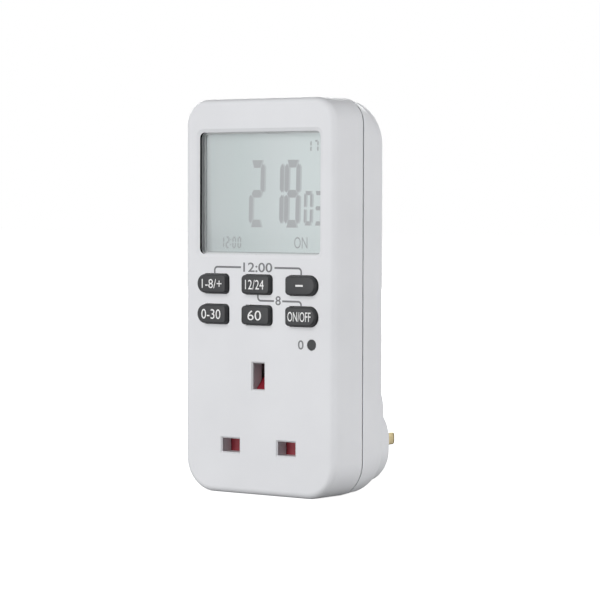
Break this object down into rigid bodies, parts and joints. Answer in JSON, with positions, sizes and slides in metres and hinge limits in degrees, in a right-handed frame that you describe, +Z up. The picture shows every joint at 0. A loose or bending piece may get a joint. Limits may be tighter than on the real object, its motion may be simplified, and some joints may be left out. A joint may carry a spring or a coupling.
{
  "type": "plug-in timer",
  "caption": "Plug-in digital timer with a display, press keys, a shuttered three-pin socket in front and a three-pin plug behind.",
  "frame": {"origin": "on the plug base's flat face, midway between the live and neutral pins", "axes": "+Z up towards the earth pin and the display, +Y along the pins into the wall outlet, +X to the right seen from the front"},
  "size_m": [0.0596, 0.0618, 0.1246],
  "materials": {
    "case_front": "fine satin moulded surface, cool white",
    "case_rear": "fine satin moulded surface, cool white",
    "clear_window": "clear moulded window with a black edge",
    "display_frame": "dark grey moulded frame",
    "display_glass": "reflective liquid crystal glass, grey green",
    "display_backing": "pale foam",
    "soft_rubber": "striped elastomer",
    "keypad_rubber": "soft grey silicone",
    "key_grey": "dark grey satin key with printed marks",
    "reset_grey": "dark grey satin",
    "control_board": "green solder mask",
    "power_board": "pale brown laminate",
    "black_resin": "black resin blob",
    "bright_can": "bright can",
    "component_black": "black moulded component",
    "component_yellow": "yellow moulded box",
    "resistor_coat": "grey blue lacquer",
    "varistor_coat": "blue dipped coat",
    "capacitor_sleeve": "black shrunk sleeve",
    "battery_can": "nickel plated cell",
    "header_plastic": "black header",
    "contact_brass": "rolled spring brass",
    "pin_brass": "bright machined brass",
    "pin_sleeve": "dark insulating sleeve",
    "carrier_plastic": "grey white moulded plastic",
    "guide_plastic": "grey moulded plastic",
    "shutter_red": "dark red moulded plastic",
    "spring_wire": "spring steel wire"
  },
  "bodies": {
    "case": {"backup_battery": "battery_can", "board_link_header": "header_plastic", "clock_chip": "black_resin", "contact_carrier": "carrier_plastic", "contact_strip": "soft_rubber", "control_board": "control_board", "crystal": "bright_can", "display_frame": "display_frame", "display_pad": "display_backing", "display_panel": "display_glass", "display_window": "clear_window", "dropper_resistor": "resistor_coat", "earth_contact": "contact_brass", "earth_pin": "pin_brass", "front_cover": "case_front", "keypad_mat": "keypad_rubber", "live_contact": "contact_brass", "live_feed_strap": "contact_brass", "live_pin": "pin_brass", "live_pin_sleeve": "pin_sleeve", "load_strap": "contact_brass", "mains_capacitor": "component_yellow", "neutral_contact": "contact_brass", "neutral_pin": "pin_brass", "neutral_pin_sleeve": "pin_sleeve", "neutral_strap": "contact_brass", "power_board": "power_board", "rear_cover": "case_rear", "rectifier": "component_black", "relay": "component_black", "shutter_guide": "guide_plastic", "shutter_spring": "spring_wire", "smoothing_capacitor": "capacitor_sleeve", "varistor": "varistor_coat"},
    "shutter": {"shutter": "shutter_red"},
    "key_count": {"key_count": "key_grey"},
    "key_minus": {"key_minus": "key_grey"},
    "key_on_off": {"key_on_off": "key_grey"},
    "key_plus": {"key_plus": "key_grey"},
    "key_random": {"key_random": "key_grey"},
    "key_set": {"key_set": "key_grey"},
    "reset_key": {"reset_key": "reset_grey"}
  },
  "joints": [
    {"name": "key_count_press", "type": "slide", "parent": "case", "child": "key_count", "axis": [0, 1, 0], "range_m": [0, 0.001], "stiffness_N_per_m": 400, "springref_m": -0.001},
    {"name": "key_minus_press", "type": "slide", "parent": "case", "child": "key_minus", "axis": [0, 1, 0], "range_m": [0, 0.001], "stiffness_N_per_m": 400, "springref_m": -0.001},
    {"name": "key_on_off_press", "type": "slide", "parent": "case", "child": "key_on_off", "axis": [0, 1, 0], "range_m": [0, 0.001], "stiffness_N_per_m": 400, "springref_m": -0.001},
    {"name": "key_plus_press", "type": "slide", "parent": "case", "child": "key_plus", "axis": [0, 1, 0], "range_m": [0, 0.001], "stiffness_N_per_m": 400, "springref_m": -0.001},
    {"name": "key_random_press", "type": "slide", "parent": "case", "child": "key_random", "axis": [0, 1, 0], "range_m": [0, 0.001], "stiffness_N_per_m": 400, "springref_m": -0.001},
    {"name": "key_set_press", "type": "slide", "parent": "case", "child": "key_set", "axis": [0, 1, 0], "range_m": [0, 0.001], "stiffness_N_per_m": 400, "springref_m": -0.001},
    {"name": "reset_key_press", "type": "slide", "parent": "case", "child": "reset_key", "axis": [0, 1, 0], "range_m": [0, 0.001], "stiffness_N_per_m": 400, "springref_m": -0.001},
    {"name": "shutter_slide", "type": "slide", "parent": "case", "child": "shutter", "axis": [0, 0, -1], "range_m": [0, 0.005], "stiffness_N_per_m": 150, "springref_m": -0.004, "deforming": ["shutter_spring"]}
  ]
}
